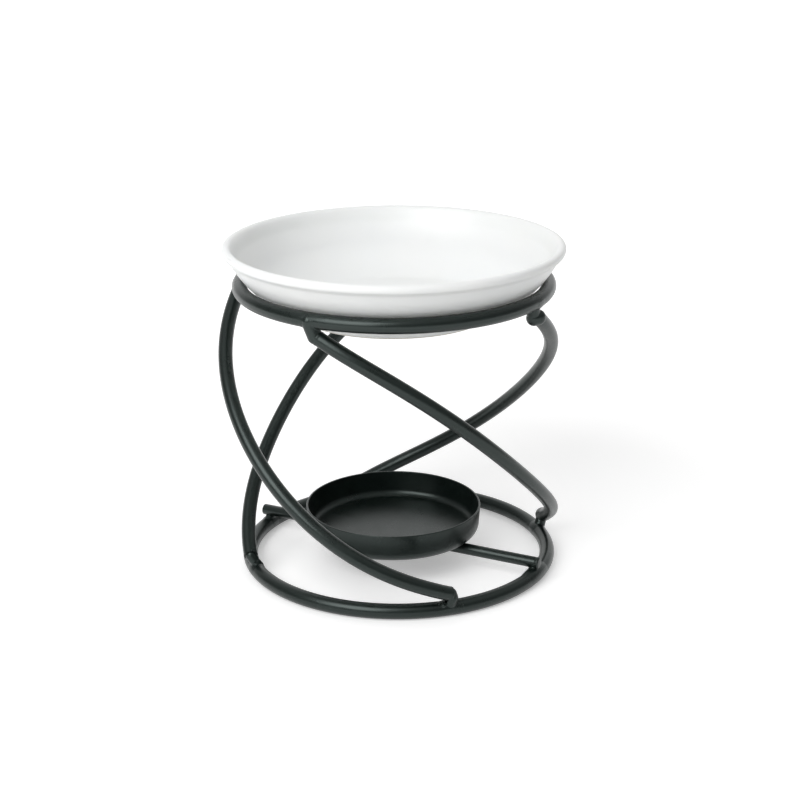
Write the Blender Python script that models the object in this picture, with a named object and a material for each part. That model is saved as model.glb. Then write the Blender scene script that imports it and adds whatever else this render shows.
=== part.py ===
"""Aroma lamp: a ceramic oil bowl on a stand of twisted round bars, with a candle cup below it.

Metres, +Z up. The origin lies on the table under the middle of the whole lamp, and -Y is the front. The
stand is worked out from the centre of its bottom ring, a little to the right of the origin, because the
left leg stands out furthest. Angles round the stand are in degrees from the front, positive towards +X.
"""

import math
from collections import namedtuple

import bmesh
import bpy
from mathutils import Vector

# Clearance between pieces that meet
GAP = 0.0003

# Centre of the bottom ring, from the origin
STAND_X = 0.0022
STAND_Y = 0.0002

# Rings
RING_BAR = 0.0053
BOTTOM_RING_RADIUS = 0.0540
TOP_RING_RADIUS = 0.0535
TOP_RING_HEIGHT = 0.1025
TOP_RING_SHIFT = -0.0012

# Legs
LEG_BAR = 0.0050
LEG_TOP_GAP = 0.00075
LEG_EASE = 0.0030

# Crossbar, which reaches a little past the bottom ring's centreline at both ends
CROSSBAR_BAR = 0.0040
CROSSBAR_OVERHANG = 0.00215
CROSSBAR_ANGLE = -27.0
CROSSBAR_X = -0.0007
CROSSBAR_Y = -0.0009
CROSSBAR_CHAMFER = 0.0004
CROSSBAR_SIDES = 16

# Candle cup
CUP_RADIUS = 0.0315
CUP_HEIGHT = 0.0102
CUP_SHEET = 0.0007
CUP_CORNER = 0.0034
CUP_DRAFT = 0.0004
CUP_X = -0.0019

# Oil bowl. Its rim stands out past the top ring's centreline, and its wall flares out from the foot to the
# rim and bulges a little from the straight line between them.
BOWL_OVERHANG = 0.0058
BOWL_FLARE = 0.0255
BOWL_HEIGHT = 0.0249
BOWL_LIP = 0.0032
BOWL_WALL = 0.0021
BOWL_FLOOR = 0.0032
BOWL_BULGE = 0.0032
BOWL_FLOOR_FILLET = 0.0100
BOWL_LIP_BLEND = 55.0
FOOT_WIDTH = 0.0035
FOOT_STEP = 0.0010

# Welds
ROOT_DEPTH = 0.0012
CROSSBAR_WELD_RADIUS = 0.0022
CROSSBAR_WELD_SPREAD = 0.0018
CROSSBAR_WELD_INSET = 0.0003
CUP_TACK_LENGTH = 0.0090
CUP_TACK = 0.0014

# Facets: round each piece, along its length, and along the arcs of its profile
RING_SIDES = 12
RING_STEPS = 64
LEG_STEPS = 44
BAR_RESOLUTION = 4
CUP_STEPS = 48
CUP_CORNER_STEPS = 4
BOWL_STEPS = 60
OUTER_WALL_STEPS = 8
LIP_STEPS = 8
INNER_WALL_STEPS = 6
FILLET_STEPS = 2
WELD_SIDES = 12
TACK_STEPS = 8
BALL_STEPS = 2
SHARP_ANGLE = 38.0

# A leg's angles at its two ends, how far its ends and its middle stand out from the rings, how far its
# middle rises above an even slope, and the gap under its lower end. The bars were bent by hand, so each
# leg has its own values.
LegBend = namedtuple("LegBend", "top foot top_out foot_out bow rise foot_gap")
LEGS = {
    "front": LegBend(-27.4, 105.0, -0.0003, 0.0026, -0.0019, 0.0015, 0.0014),
    "right": LegBend(63.6, 193.9, 0.0003, 0.0012, 0.0011, -0.0035, 0.0003),
    "back": LegBend(155.6, 290.3, 0.0020, 0.0018, -0.0054, 0.0045, 0.0003),
    "left": LegBend(-108.7, 18.5, 0.0046, 0.0009, 0.0034, -0.0063, 0.0003),
}

# A leg's weld is a bulb on the leg's cut end, and a neck from the bulb to the ring. The bulb's centre is
# given from the centre of the cut end: on along the leg, outwards, and towards the ring. The root's centre
# is given from the point of the ring nearest to the bulb: on round the ring, and outwards. The radii are
# those of the bulb, of the neck where it leaves the bulb, and of the root.
LegWeld = namedtuple("LegWeld", "bulb_at bulb neck root_at root")
HIDDEN_WELD = LegWeld((0.0012, 0.0, 0.0), 0.0023, 0.0019, (0.0, 0.0), 0.0023)
WELDS = {
    ("front", "top"): LegWeld((0.0012, 0.0, 0.0), 0.0025, 0.0025, (0.0023, 0.0), 0.0027),
    ("front", "foot"): LegWeld((0.0022, -0.0005, 0.0), 0.0024, 0.0016, (-0.0012, 0.0009), 0.0018),
    ("right", "top"): LegWeld((0.0012, -0.0006, -0.0008), 0.0027, 0.0019, (0.0010, 0.0), 0.0022),
    ("right", "foot"): HIDDEN_WELD,
    ("back", "top"): HIDDEN_WELD,
    ("back", "foot"): LegWeld((0.0002, 0.0012, 0.0010), 0.0020, 0.0019, (0.0002, 0.0008), 0.0021),
    ("left", "top"): HIDDEN_WELD,
    ("left", "foot"): LegWeld((0.0004, 0.0004, 0.0012), 0.0022, 0.0022, (-0.0006, 0.0006), 0.0025),
}

# Finishes: base colour and roughness
BLACK_PAINT = ((0.030, 0.036, 0.034, 1.0), 0.38)
WHITE_GLAZE = ((0.86, 0.87, 0.86, 1.0), 0.12)

# Sizes and heights that follow from the ones above
CROSSBAR_LENGTH = 2 * (BOTTOM_RING_RADIUS + CROSSBAR_OVERHANG)
BOWL_RIM_RADIUS = TOP_RING_RADIUS + BOWL_OVERHANG
FOOT_RADIUS = BOWL_RIM_RADIUS - BOWL_FLARE
BOTTOM_RING_HEIGHT = RING_BAR / 2
CROSSBAR_HEIGHT = RING_BAR + GAP + CROSSBAR_BAR / 2
CUP_BASE = CROSSBAR_HEIGHT + CROSSBAR_BAR / 2 + GAP
LEG_TOP_HEIGHT = TOP_RING_HEIGHT - RING_BAR / 2 - LEG_TOP_GAP - LEG_BAR / 2


def clear_scene():
    for item in list(bpy.data.objects):
        bpy.data.objects.remove(item, do_unlink=True)


def link(name, data, parent=None):
    item = bpy.data.objects.new(name, data)
    bpy.context.scene.collection.objects.link(item)
    item.parent = parent
    return item


def finish_part(item, finish):
    """Give a part its own material and smooth shading with sharp rims."""
    colour, roughness = finish
    material = bpy.data.materials.new(item.name + "_finish")
    material.use_nodes = True
    shader = material.node_tree.nodes["Principled BSDF"]
    shader.inputs["Base Color"].default_value = colour
    shader.inputs["Roughness"].default_value = roughness
    shader.inputs["Metallic"].default_value = 0.0
    item.data.materials.clear()
    item.data.materials.append(material)
    item.data.shade_smooth()
    item.data.set_sharp_from_angle(angle=math.radians(SHARP_ANGLE))
    return item


def as_cutter(item):
    item.hide_render = True
    item.display_type = "WIRE"
    return item


def combine(item, other, operation):
    modifier = item.modifiers.new(other.name, "BOOLEAN")
    modifier.operation = operation
    modifier.solver = "EXACT"
    modifier.object = other


def cut(item, cutter):
    combine(item, cutter, "DIFFERENCE")


def join(item, addition):
    combine(item, addition, "UNION")


def arc(centre, radius, start, end, steps):
    """Points of a circular arc in a profile, both ends included. Angles are in radians."""
    points = []
    for step in range(steps + 1):
        angle = start + (end - start) * step / steps
        points.append((centre[0] + radius * math.cos(angle), centre[1] + radius * math.sin(angle)))
    return points


def revolve(name, profile, steps, closed=False):
    """Mesh of a profile of (radius, height) points turned once round Z."""
    shell = bmesh.new()
    verts = [shell.verts.new((radius, 0.0, height)) for radius, height in profile]
    pairs = list(zip(verts, verts[1:]))
    if closed:
        pairs.append((verts[-1], verts[0]))
    edges = [shell.edges.new(pair) for pair in pairs]
    bmesh.ops.spin(shell, geom=verts + edges, cent=(0, 0, 0), axis=(0, 0, 1), angle=math.tau,
                   steps=steps, use_merge=True)
    bmesh.ops.remove_doubles(shell, verts=shell.verts[:], dist=1e-6)
    bmesh.ops.recalc_face_normals(shell, faces=shell.faces[:])
    mesh = bpy.data.meshes.new(name)
    shell.to_mesh(mesh)
    shell.free()
    return mesh


def ring_mesh(name, radius, bar):
    """Round bar bent to a circle. Its section has a flat side below, for the table."""
    corner = bar / 2 / math.cos(math.pi / RING_SIDES)
    turn = math.pi / RING_SIDES
    section = arc((radius, 0.0), corner, turn, turn + math.tau, RING_SIDES)[:-1]
    return revolve(name, section, RING_STEPS, closed=True)


def bar_mesh(name, points, bar):
    """Round bar along a line of points, with its ends cut square."""
    path = bpy.data.curves.new(name, "CURVE")
    path.dimensions = "3D"
    path.bevel_depth = bar / 2
    path.bevel_resolution = BAR_RESOLUTION
    path.use_fill_caps = True
    spline = path.splines.new("POLY")
    spline.points.add(len(points) - 1)
    for spot, point in zip(spline.points, points):
        spot.co = (*point, 1.0)
    holder = link(name + "_path", path)
    mesh = bpy.data.meshes.new_from_object(holder.evaluated_get(bpy.context.evaluated_depsgraph_get()))
    bpy.data.objects.remove(holder, do_unlink=True)
    mesh.name = name
    return mesh


def outward(angle):
    """Unit vector from the stand's axis towards an angle round the stand."""
    return Vector((math.sin(math.radians(angle)), -math.cos(math.radians(angle)), 0.0))


def axis_at(height):
    """The stand's axis at a height: it leans a little towards the left."""
    share = (height - BOTTOM_RING_HEIGHT) / (TOP_RING_HEIGHT - BOTTOM_RING_HEIGHT)
    return Vector((TOP_RING_SHIFT * share, 0.0, height))


def leg_point(bend, share):
    """Point on a leg's centreline, from its upper end (share 0) to its lower end (share 1)."""
    foot_height = RING_BAR + bend.foot_gap + LEG_BAR / 2
    height = LEG_TOP_HEIGHT + (foot_height - LEG_TOP_HEIGHT) * share
    height += bend.rise * math.sin(math.pi * share) + LEG_EASE * math.sin(math.tau * share)
    radius = TOP_RING_RADIUS + (BOTTOM_RING_RADIUS - TOP_RING_RADIUS) * share
    radius += bend.top_out * (1 - share) + bend.foot_out * share + bend.bow * math.sin(math.pi * share)
    return axis_at(height) + radius * outward(bend.top + (bend.foot - bend.top) * share)


def leg_path(bend):
    return [leg_point(bend, step / LEG_STEPS) for step in range(LEG_STEPS + 1)]


def lengthened(points, extra):
    """The same path with both ends moved out along it."""
    first = points[0] + (points[0] - points[1]).normalized() * extra
    last = points[-1] + (points[-1] - points[-2]).normalized() * extra
    return [first] + points[1:-1] + [last]


def build_ring(name, radius, centre, stand):
    ring = link(name, ring_mesh(name, radius, RING_BAR), stand)
    ring.location = centre
    finish_part(ring, BLACK_PAINT)
    clearance = as_cutter(link(name + "_clearance", ring_mesh(name, radius, RING_BAR + 2 * GAP), stand))
    clearance.location = centre
    return clearance


def build_leg(side, bend, stand):
    name = "leg_" + side
    path = leg_path(bend)
    leg = link(name, bar_mesh(name, path, LEG_BAR), stand)
    finish_part(leg, BLACK_PAINT)
    room = bar_mesh(name + "_clearance", lengthened(path, GAP), LEG_BAR + 2 * GAP)
    return as_cutter(link(name + "_clearance", room, stand))


def hull_mesh(name, balls):
    """Mesh of the tightest skin round some balls, each a centre and a radius."""
    skin = bmesh.new()
    for centre, radius in balls:
        ball = bmesh.new()
        bmesh.ops.create_icosphere(ball, subdivisions=BALL_STEPS, radius=radius)
        for vert in ball.verts:
            skin.verts.new(centre + vert.co)
        ball.free()
    shape = bmesh.ops.convex_hull(skin, input=skin.verts[:])
    inside = [part for part in shape["geom_interior"] if isinstance(part, bmesh.types.BMVert)]
    bmesh.ops.delete(skin, geom=inside, context="VERTS")
    bmesh.ops.recalc_face_normals(skin, faces=skin.faces[:])
    mesh = bpy.data.meshes.new(name)
    skin.to_mesh(mesh)
    skin.free()
    return mesh


def build_leg_weld(side, end, ring_centre, ring_radius, cutters, stand):
    """Weld metal from a leg's cut end to its ring, cut to both with a small gap."""
    bend = LEGS[side]
    weld = WELDS[(side, end)]
    path = leg_path(bend)
    if end == "foot":
        path.reverse()
    tip = path[0]
    along = (tip - path[1]).normalized()
    away = outward(bend.top if end == "top" else bend.foot)
    to_ring = Vector((0.0, 0.0, math.copysign(1.0, ring_centre.z - tip.z)))
    bulb = tip + along * weld.bulb_at[0] + away * weld.bulb_at[1] + to_ring * weld.bulb_at[2]
    away = Vector((bulb.x - ring_centre.x, bulb.y - ring_centre.y, 0.0)).normalized()
    round_ring = (along - along.project(away) - along.project(to_ring)).normalized()
    root = ring_centre + away * (ring_radius + weld.root_at[1]) + round_ring * weld.root_at[0]
    root -= to_ring * ROOT_DEPTH
    name = "weld_" + side + "_" + end
    lump = link(name, hull_mesh(name, [(tip, weld.bulb), (bulb, weld.bulb)]), stand)
    neck = as_cutter(link(name + "_neck", hull_mesh(name, [(bulb, weld.neck), (root, weld.root)]), stand))
    join(lump, neck)
    for cutter in cutters:
        cut(lump, cutter)
    finish_part(lump, BLACK_PAINT)


def build_crossbar(stand):
    def bar(name, thickness, length, chamfer):
        radius = thickness / 2
        half = length / 2
        profile = [(0.0, -half), (radius - chamfer, -half), (radius, -half + chamfer),
                   (radius, half - chamfer), (radius - chamfer, half), (0.0, half)]
        item = link(name, revolve(name, profile, CROSSBAR_SIDES), stand)
        item.location = (CROSSBAR_X, CROSSBAR_Y, CROSSBAR_HEIGHT)
        item.rotation_euler = (0.0, math.pi / 2, math.radians(CROSSBAR_ANGLE))
        return item

    finish_part(bar("crossbar", CROSSBAR_BAR, CROSSBAR_LENGTH, CROSSBAR_CHAMFER), BLACK_PAINT)
    room = bar("crossbar_clearance", CROSSBAR_BAR + 2 * GAP, CROSSBAR_LENGTH + 2 * GAP, CROSSBAR_CHAMFER)
    return as_cutter(room)


def crossing(direction):
    """Where the crossbar passes over the bottom ring's centreline, and its direction outwards there."""
    along = Vector((math.cos(math.radians(CROSSBAR_ANGLE)), math.sin(math.radians(CROSSBAR_ANGLE)), 0.0))
    along *= direction
    middle = Vector((CROSSBAR_X, CROSSBAR_Y, 0.0))
    shift = middle.dot(along)
    reach = math.sqrt(shift ** 2 + BOTTOM_RING_RADIUS ** 2 - middle.length_squared) - shift
    return middle + along * reach, along


def build_crossbar_weld(name, direction, cutters, stand):
    """Lump of weld metal in the corners between the crossbar and the top of the bottom ring."""
    spot, along = crossing(direction)
    centre = spot - along * CROSSBAR_WELD_INSET + Vector((0.0, 0.0, RING_BAR))
    aside = along.cross(Vector((0.0, 0.0, 1.0))) * (CROSSBAR_WELD_SPREAD / 2)
    balls = [(centre + aside, CROSSBAR_WELD_RADIUS), (centre - aside, CROSSBAR_WELD_RADIUS)]
    weld = link(name, hull_mesh(name, balls), stand)
    for cutter in cutters:
        cut(weld, cutter)
    finish_part(weld, BLACK_PAINT)


def cup_profile():
    """Profile of the pressed cup, with its base at height 0."""
    wall_foot = CUP_RADIUS - CUP_DRAFT
    corner_centre = (wall_foot - CUP_CORNER, CUP_CORNER)
    outside = arc(corner_centre, CUP_CORNER, -math.pi / 2, 0.0, CUP_CORNER_STEPS)
    inside = arc(corner_centre, CUP_CORNER - CUP_SHEET, 0.0, -math.pi / 2, CUP_CORNER_STEPS)
    lip = CUP_SHEET / 4
    rim = [(CUP_RADIUS, CUP_HEIGHT - lip), (CUP_RADIUS - lip, CUP_HEIGHT),
           (CUP_RADIUS - CUP_SHEET + lip, CUP_HEIGHT), (CUP_RADIUS - CUP_SHEET, CUP_HEIGHT - lip)]
    return [(0.0, 0.0)] + outside + rim + inside + [(0.0, CUP_SHEET)]


def build_cup(stand):
    cup = link("candle_cup", revolve("candle_cup", cup_profile(), CUP_STEPS), stand)
    cup.location = (CUP_X, 0.0, CUP_BASE)
    finish_part(cup, BLACK_PAINT)
    flat = CUP_RADIUS - CUP_DRAFT - CUP_CORNER
    profile = [(0.0, -GAP), (flat, -GAP), (flat, CUP_SHEET), (0.0, CUP_SHEET)]
    room = as_cutter(link("candle_cup_clearance", revolve("candle_cup_clearance", profile, WELD_SIDES), stand))
    room.location = cup.location
    return room


def build_cup_weld(name, direction, cutters, stand):
    """Tack in the corner between one side of the crossbar and the underside of the cup."""
    half = CUP_TACK_LENGTH / 2
    profile = [(0.0, -half)]
    for step in range(1, TACK_STEPS):
        height = -half + CUP_TACK_LENGTH * step / TACK_STEPS
        profile.append((CUP_TACK * math.sqrt(1 - (height / half) ** 2), height))
    profile.append((0.0, half))
    weld = link(name, revolve(name, profile, WELD_SIDES), stand)
    angle = math.radians(CROSSBAR_ANGLE)
    aside = Vector((-math.sin(angle), math.cos(angle), 0.0)) * direction
    weld.location = Vector((CUP_X, 0.0, CUP_BASE - CUP_TACK / 2)) + aside * (CROSSBAR_BAR / 2)
    weld.rotation_euler = (0.0, math.pi / 2, angle)
    for cutter in cutters:
        cut(weld, cutter)
    finish_part(weld, BLACK_PAINT)


def wall_arc():
    """Centre and radius of the arc of the bowl's outer wall, from the foot to the lip's underside."""
    foot = Vector((FOOT_RADIUS, FOOT_STEP))
    lip = Vector((BOWL_RIM_RADIUS - BOWL_LIP / 2, BOWL_HEIGHT - BOWL_LIP))
    chord = lip - foot
    radius = chord.length_squared / (8 * BOWL_BULGE) + BOWL_BULGE / 2
    normal = Vector((-chord.y, chord.x)).normalized()
    return (foot + lip) / 2 + normal * (radius - BOWL_BULGE), radius


def bowl_profile():
    """Profile of the bowl, with its foot at height 0."""
    centre, outer_radius = wall_arc()
    foot_angle = math.atan2(FOOT_STEP - centre.y, FOOT_RADIUS - centre.x)
    lip_centre = Vector((BOWL_RIM_RADIUS - BOWL_LIP / 2, BOWL_HEIGHT - BOWL_LIP / 2))
    lip_angle = math.atan2(lip_centre.y - BOWL_LIP / 2 - centre.y, lip_centre.x - centre.x)
    outer_wall = arc(centre, outer_radius, foot_angle, lip_angle, OUTER_WALL_STEPS)[:-1]
    inner_radius = outer_radius - BOWL_WALL

    # The inner wall's arc ends where it meets the lip's circle, or where it comes nearest to it
    across = lip_centre - centre
    along = (across.length_squared + inner_radius ** 2 - (BOWL_LIP / 2) ** 2) / (2 * across.length)
    aside = math.sqrt(max(0.0, inner_radius ** 2 - along ** 2))
    meeting = centre + across.normalized() * along + Vector((-across.y, across.x)).normalized() * aside
    meeting_on_lip = meeting - lip_centre
    meeting_angle = math.atan2(meeting_on_lip.y, meeting_on_lip.x)
    lip = arc(lip_centre, BOWL_LIP / 2, -math.radians(BOWL_LIP_BLEND), meeting_angle, LIP_STEPS)

    # A fillet leads from the inner wall to the flat floor
    fillet_height = BOWL_FLOOR + BOWL_FLOOR_FILLET
    drop = centre.y - fillet_height
    reach = math.sqrt((inner_radius - BOWL_FLOOR_FILLET) ** 2 - drop ** 2)
    fillet_centre = (centre.x + reach, fillet_height)
    fillet_angle = math.atan2(-drop, reach)
    on_wall = meeting - centre
    wall_angle = math.atan2(on_wall.y, on_wall.x)
    inner_wall = arc(centre, inner_radius, wall_angle, fillet_angle, INNER_WALL_STEPS)
    fillet = arc(fillet_centre, BOWL_FLOOR_FILLET, fillet_angle, -math.pi / 2, FILLET_STEPS)
    inner_foot = FOOT_RADIUS - FOOT_WIDTH
    foot = [(0.0, FOOT_STEP), (inner_foot - FOOT_STEP, FOOT_STEP), (inner_foot, 0.0), (FOOT_RADIUS, 0.0)]
    return foot + outer_wall + lip + inner_wall[1:] + fillet[1:] + [(0.0, BOWL_FLOOR)]


def bowl_seat_height():
    """Height of the bowl's foot above the table where its wall rests on the top ring."""
    centre, outer_radius = wall_arc()
    touching = outer_radius + RING_BAR / 2 + GAP
    return TOP_RING_HEIGHT + math.sqrt(touching ** 2 - (TOP_RING_RADIUS - centre.x) ** 2) - centre.y


def build_bowl(stand):
    bowl = link("oil_bowl", revolve("oil_bowl", bowl_profile(), BOWL_STEPS), stand)
    bowl.location = (TOP_RING_SHIFT, 0.0, bowl_seat_height())
    finish_part(bowl, WHITE_GLAZE)


def main():
    clear_scene()
    stand = link("stand", None)
    stand.location = (STAND_X, STAND_Y, 0.0)
    bottom_centre = axis_at(BOTTOM_RING_HEIGHT)
    top_centre = axis_at(TOP_RING_HEIGHT)
    rings = {
        "foot": (bottom_centre, BOTTOM_RING_RADIUS,
                 build_ring("bottom_ring", BOTTOM_RING_RADIUS, bottom_centre, stand)),
        "top": (top_centre, TOP_RING_RADIUS, build_ring("top_ring", TOP_RING_RADIUS, top_centre, stand)),
    }
    legs = {side: build_leg(side, bend, stand) for side, bend in LEGS.items()}
    for side, end in WELDS:
        centre, radius, ring_room = rings[end]
        build_leg_weld(side, end, centre, radius, (ring_room, legs[side]), stand)
    crossbar_room = build_crossbar(stand)
    ring_room = rings["foot"][2]
    build_crossbar_weld("crossbar_weld_left", -1, (ring_room, crossbar_room), stand)
    build_crossbar_weld("crossbar_weld_right", 1, (ring_room, crossbar_room), stand)
    cup_room = build_cup(stand)
    build_cup_weld("cup_weld_front", -1, (cup_room, crossbar_room), stand)
    build_cup_weld("cup_weld_back", 1, (cup_room, crossbar_room), stand)
    build_bowl(stand)


main()
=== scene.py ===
"""Aroma lamp: a glazed bowl on a stand of twisted painted bars, with a candle cup on a crossbar.

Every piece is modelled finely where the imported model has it, in the same frame: metres, +Z up, and the
front at -Y. Angles round the stand are in degrees from the front, positive towards +X.
"""

import math
from collections import namedtuple

import bpy
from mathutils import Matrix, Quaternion, Vector
from mathutils.geometry import interpolate_bezier


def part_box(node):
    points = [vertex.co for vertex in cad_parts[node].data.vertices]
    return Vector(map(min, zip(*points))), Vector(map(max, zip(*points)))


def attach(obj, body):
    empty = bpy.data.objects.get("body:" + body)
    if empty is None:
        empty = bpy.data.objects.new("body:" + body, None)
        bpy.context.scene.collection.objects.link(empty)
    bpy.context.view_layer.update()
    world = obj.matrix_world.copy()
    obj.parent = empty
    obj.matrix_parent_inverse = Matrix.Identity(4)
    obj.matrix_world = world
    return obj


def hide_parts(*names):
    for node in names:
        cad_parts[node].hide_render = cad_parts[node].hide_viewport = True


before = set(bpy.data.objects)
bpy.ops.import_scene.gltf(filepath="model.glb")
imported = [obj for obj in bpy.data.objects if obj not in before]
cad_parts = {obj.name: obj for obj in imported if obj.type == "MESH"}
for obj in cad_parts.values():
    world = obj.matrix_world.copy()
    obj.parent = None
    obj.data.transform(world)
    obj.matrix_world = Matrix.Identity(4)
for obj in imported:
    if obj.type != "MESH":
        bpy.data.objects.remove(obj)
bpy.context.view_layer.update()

bl_info = {
    "name": "Aroma Lamp",
    "version": (1, 0, 0),
    "blender": (4, 5, 0),
    "location": "3D View > Sidebar > Aroma Lamp",
    "description": "Models a glazed oil bowl on a stand of twisted painted bars with a candle cup",
    "category": "Add Mesh",
}

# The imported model's rings, cup and bowl, each as its lowest and highest corner
BOTTOM_LOW, BOTTOM_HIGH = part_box("bottom_ring")
TOP_LOW, TOP_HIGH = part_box("top_ring")
CROSSBAR_LOW, CROSSBAR_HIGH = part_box("crossbar")
CUP_LOW, CUP_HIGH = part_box("candle_cup")
BOWL_LOW, BOWL_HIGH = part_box("oil_bowl")

RING_BAR = BOTTOM_HIGH.z - BOTTOM_LOW.z
BOTTOM_CENTRE = (BOTTOM_LOW + BOTTOM_HIGH) / 2
TOP_CENTRE = (TOP_LOW + TOP_HIGH) / 2
BOTTOM_RADIUS = (BOTTOM_HIGH.x - BOTTOM_LOW.x - RING_BAR) / 2
TOP_RADIUS = (TOP_HIGH.x - TOP_LOW.x - RING_BAR) / 2
CROSSBAR_BAR = CROSSBAR_HIGH.z - CROSSBAR_LOW.z
CUP_CENTRE = (CUP_LOW + CUP_HIGH) / 2
CUP_RADIUS = (CUP_HIGH.x - CUP_LOW.x) / 2
BOWL_CENTRE = (BOWL_LOW + BOWL_HIGH) / 2
BOWL_RADIUS = (BOWL_HIGH.x - BOWL_LOW.x) / 2

# Gap between the legs' upper ends and the top ring, and how far the legs ease off an even slope
LEG_TOP_GAP = 0.00075
LEG_EASE = 0.0030

# Legs, as bent by hand: the angles of the two ends, how far the ends and the middle stand out from the
# rings, how far the middle rises above an even slope, and the gap under the lower end
LegBend = namedtuple("LegBend", "top foot top_out foot_out bow rise foot_gap")
LEGS = {
    "front": LegBend(-27.4, 105.0, -0.0003, 0.0026, -0.0019, 0.0015, 0.0014),
    "right": LegBend(63.6, 193.9, 0.0003, 0.0012, 0.0011, -0.0035, 0.0003),
    "back": LegBend(155.6, 290.3, 0.0020, 0.0018, -0.0054, 0.0045, 0.0003),
    "left": LegBend(-108.7, 18.5, 0.0046, 0.0009, 0.0034, -0.0063, 0.0003),
}

# Welds at the legs' ends: the bulb on the cut end (its centre on along the leg, outwards and towards the
# ring), and the neck that runs from the bulb to its root on the ring (on round the ring, outwards, and
# from the ring's centreline towards the leg)
LegWeld = namedtuple("LegWeld", "bulb_at bulb neck root_at root")
HIDDEN_WELD = LegWeld((0.0012, 0.0, 0.0), 0.0023, 0.0019, (0.0, 0.0, 0.0012), 0.0023)
WELDS = {
    ("front", "top"): LegWeld((0.0012, 0.0003, 0.0), 0.0025, 0.0025, (0.0018, 0.0003, 0.0004), 0.0027),
    ("front", "foot"): LegWeld((0.0024, -0.0005, -0.0002), 0.0026, 0.0019, (-0.0010, 0.0006, 0.0012), 0.0021),
    ("right", "top"): LegWeld((0.0012, -0.0010, -0.0008), 0.0027, 0.0022, (0.0013, -0.0009, 0.0012), 0.0026),
    ("right", "foot"): HIDDEN_WELD,
    ("back", "top"): HIDDEN_WELD,
    ("back", "foot"): LegWeld((0.0008, -0.0010, 0.0012), 0.0019, 0.0017, (0.0004, -0.0004, 0.0012), 0.0021),
    ("left", "top"): HIDDEN_WELD,
    ("left", "foot"): LegWeld((0.0004, 0.0004, 0.0012), 0.0022, 0.0022, (-0.0006, 0.0001, 0.0012), 0.0024),
}

# Welds that stop at the leg's cut end, without a sleeve over the leg
GROOVED_WELDS = (("front", "foot"), ("back", "foot"))

# Beads of spatter on the ring beside a leg's weld: how far on round the ring, the angle round the bar from
# its outermost line towards the leg, and the radius
SPATTER = {
    ("left", "foot"): ((-0.0025, 48.0, 0.00075), (-0.0038, 62.0, 0.00034), (0.0041, 30.0, 0.00030)),
    ("right", "foot"): ((0.0036, 40.0, 0.00040), (-0.0044, 64.0, 0.00030)),
    ("back", "top"): ((0.0038, 30.0, 0.00034), (-0.0035, 75.0, 0.00040)),
    ("left", "top"): ((0.0046, 25.0, 0.00030), (-0.0040, 50.0, 0.00036)),
}

# Pinhole in the left leg's lower weld: its radius, the direction that it runs in, how far round the ring it
# is from the neck's root, how far outside the ring's centreline, its height above the table, and how far it
# runs to each side of that point
PINHOLE = 0.00050
PINHOLE_WAY = Vector((0.0, 0.94, -0.34))
PINHOLE_TURN = math.radians(1.7)
PINHOLE_OUT = 0.0018
PINHOLE_HEIGHT = 0.0060
PINHOLE_DEPTH = 0.0020

# How finely pieces are made
RING_STEPS = 288
BAR_SIDES = 48
LEG_STEPS = 200
BAR_RESOLUTION = 10
SPIN_STEPS = 240
BALL_SEGMENTS = 32
SKIRT_STEPS = 8
EDGE_SEGMENTS = 3
CUP_CORNER_STEPS = 20
CUP_EDGE_STEPS = 6
BOWL_WALL_STEPS = 40
BOWL_LIP_STEPS = 20
BOWL_ROLL_STEPS = 24
BOWL_FILLET_STEPS = 16
WELD_VOXEL = 0.00013
SHORTEST_ROD = 0.0001
SEED_SIZE = 0.001
SMOOTH_ANGLE = math.radians(40)
MERGE = 1e-6

# Rounds of smoothing of the welds
LEG_WELD_ROUNDS = 6
RING_WELD_ROUNDS = 12
CUP_WELD_ROUNDS = 4

# Sleeves of weld metal on the bars: their length, how far they rise at the weld, how far they fall from
# there to their ends, and how far a ring's sleeve is shifted towards the leg
SKIRT = 0.0022
SKIRT_RISE = 0.00012
SKIRT_DROP = 0.00035
SKIRT_SHIFT = 0.00006

# Welds under the crossbar's ends: the radius under the bar and at both feet, and how far the feet are to the
# side and down
TACK_RADIUS = 0.0018
TACK_FOOT = 0.0013
TACK_SPREAD = 0.0024
TACK_FALL = 0.0010

# Weld metal at the crossbar's right end: the swelling on the ring, and the collar round the bar (how far from
# the bar's end, and how far above the bar)
SWELL_RISE = 0.00030
SWELL_LENGTH = 0.0045
COLLAR = ((0.0020, -0.0001), (0.0010, 0.0001), (0.0003, 0.0002))

# Row of ripples that tacks the cup to the crossbar: their radius, the row's length, how far it lies under the
# cup, the ripples on each side of the middle one, the square of the place where they would shrink to nothing
# (in half lengths of the row), and the share by which they are larger and smaller in turn
CUP_TACK = 0.0013
CUP_TACK_LENGTH = 0.0076
CUP_TACK_DROP = 0.0011
RIPPLES = 4
RIPPLE_FADE = 1.15
RIPPLE_CHANGE = 0.08

# Rounding of the cup's rim, as a share of its sheet
CUP_EDGE = 0.42

# Bowl: the width of its foot ring, that ring's height (its inner side slopes by as much), the radius between
# floor and wall, the angle below the horizontal at which the lip's arc starts, how far below the rim the
# inner roll ends, and how far the roll's curve reaches on from its upper and its lower end
FOOT_WIDTH = 0.0035
FOOT_STEP = 0.0010
FLOOR_FILLET = 0.0100
LIP_BLEND = math.radians(55.0)
ROLL_DROP = 0.0055
ROLL_TOP = 0.0021
ROLL_SIDE = 0.0022

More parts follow.
